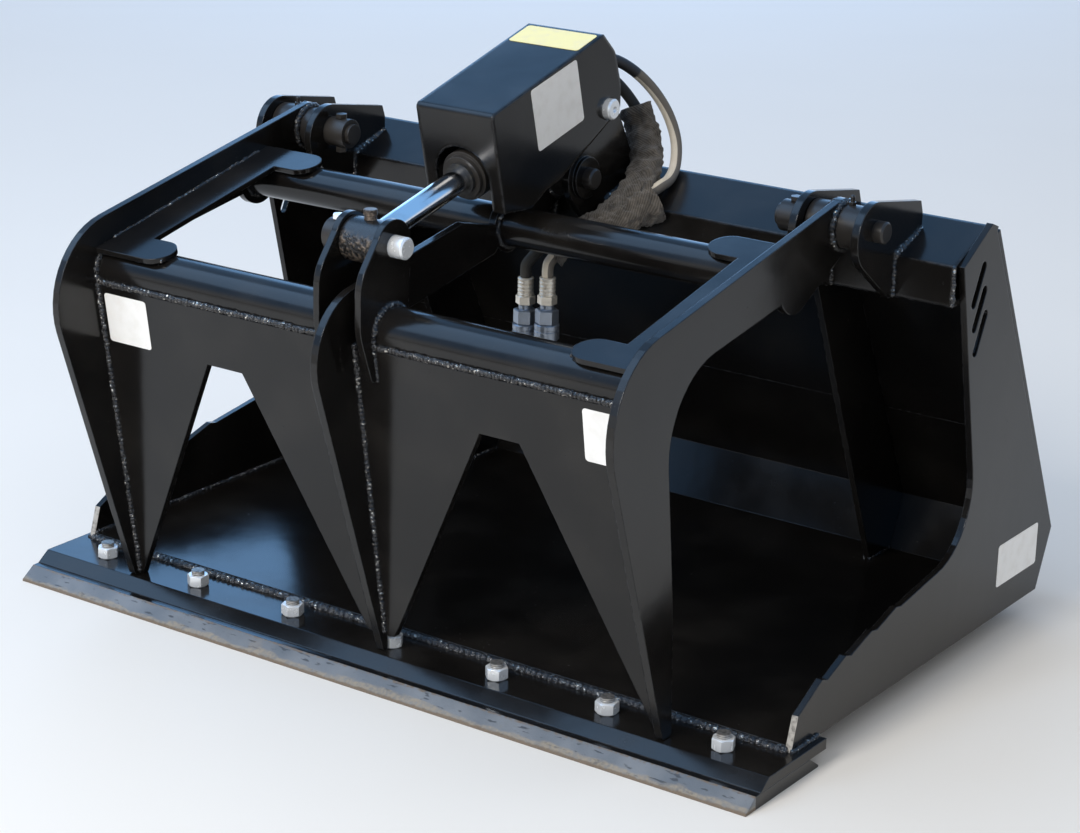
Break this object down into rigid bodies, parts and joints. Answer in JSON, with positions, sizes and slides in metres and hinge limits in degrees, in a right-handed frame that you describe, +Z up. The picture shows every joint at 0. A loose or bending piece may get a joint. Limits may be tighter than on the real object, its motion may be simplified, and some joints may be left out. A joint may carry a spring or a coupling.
{
  "type": "grapple bucket",
  "caption": "Small-loader bucket with a bolt-on cutting edge and a hinged tine grapple, worked by a guarded hydraulic cylinder.",
  "frame": {"origin": "middle of the bucket's box at the underside of the cutting edge, where the bucket stands", "axes": "+X across the bucket, to the right seen from its open front; +Y from the cutting edge to the loader; +Z up"},
  "size_m": [1.0668, 0.8606, 0.712],
  "materials": {
    "black_paint": "satin black powder coat",
    "edge_steel": "worn grey primer over steel",
    "zinc": "zinc plated",
    "bare_steel": "machined, oiled",
    "chrome": "polished",
    "black_rubber": "smooth hose cover",
    "grey_rubber": "printed hose cover, plain grey",
    "sleeve_cloth": "woven sleeve"
  },
  "bodies": {
    "bucket": {"cutting_edge": "edge_steel", "edge_bolts": "zinc", "edge_nuts": "zinc", "base_edge": "black_paint", "wear_strips": "black_paint", "floor_and_back": "black_paint", "upper_back_plate": "black_paint", "side_plate_left": "black_paint", "side_plate_right": "black_paint", "cross_beam": "black_paint", "rib_left": "black_paint", "rib_right": "black_paint", "hinge_ears_left": "black_paint", "hinge_ears_right": "black_paint", "cylinder_brackets": "black_paint", "attach_plate": "black_paint", "attach_hook": "black_paint", "attach_lip": "black_paint", "hinge_pin_left": "bare_steel", "hinge_pin_right": "bare_steel", "hinge_pin_centre": "black_paint", "cylinder_base_pin": "zinc", "pin_collars": "black_paint", "collar_bolts": "zinc", "hose_left": "black_rubber", "hose_right": "grey_rubber", "hose_sleeve": "sleeve_cloth", "quick_couplers": "zinc"},
    "grapple": {"arm_left": "black_paint", "arm_right": "black_paint", "centre_tine_plate": "black_paint", "lug_left": "black_paint", "lug_right": "black_paint", "front_tube_left": "black_paint", "front_tube_right": "black_paint", "rear_tube_left": "black_paint", "rear_tube_right": "black_paint", "front_plate_left": "black_paint", "front_plate_right": "black_paint", "gusset_left": "black_paint", "gusset_right": "black_paint", "hinge_boss_left": "black_paint", "hinge_boss_right": "black_paint", "hinge_boss_centre": "black_paint", "hinge_bushes": "bare_steel", "hinge_grease_fittings": "zinc", "clevis_pin": "zinc", "clevis_collar": "black_paint", "clevis_bolt": "zinc"},
    "barrel": {"cylinder_barrel": "black_paint", "cylinder_gland": "black_paint", "rod_wiper": "black_rubber", "port_elbows": "zinc", "cylinder_guard": "black_paint", "guard_mount": "black_paint"},
    "rod": {"cylinder_rod": "chrome", "cylinder_piston": "bare_steel", "rod_eye": "black_paint", "eye_grease_fitting": "zinc"}
  },
  "joints": [
    {"name": "grapple_hinge", "type": "hinge", "parent": "bucket", "child": "grapple", "pos_m": [0, 0.02681, 0.54], "axis": [-1, 0, 0], "range_deg": [0, 60]},
    {"name": "barrel_swing", "type": "hinge", "parent": "bucket", "child": "barrel", "pos_m": [0, 0.05381, 0.621], "axis": [-1, 0, 0], "range_deg": [0, 58.1], "deforming": ["hose_left", "hose_right"]},
    {"name": "rod_slide", "type": "slide", "parent": "barrel", "child": "rod", "axis": [0, 0.9713, 0.2378], "range_m": [0, 0.0845]}
  ],
  "couplings": [
    {"joint": "barrel_swing", "follows": "grapple_hinge", "ratio": 0.9675},
    {"joint": "rod_slide", "follows": "grapple_hinge", "m_per_rad": 0.0806}
  ]
}
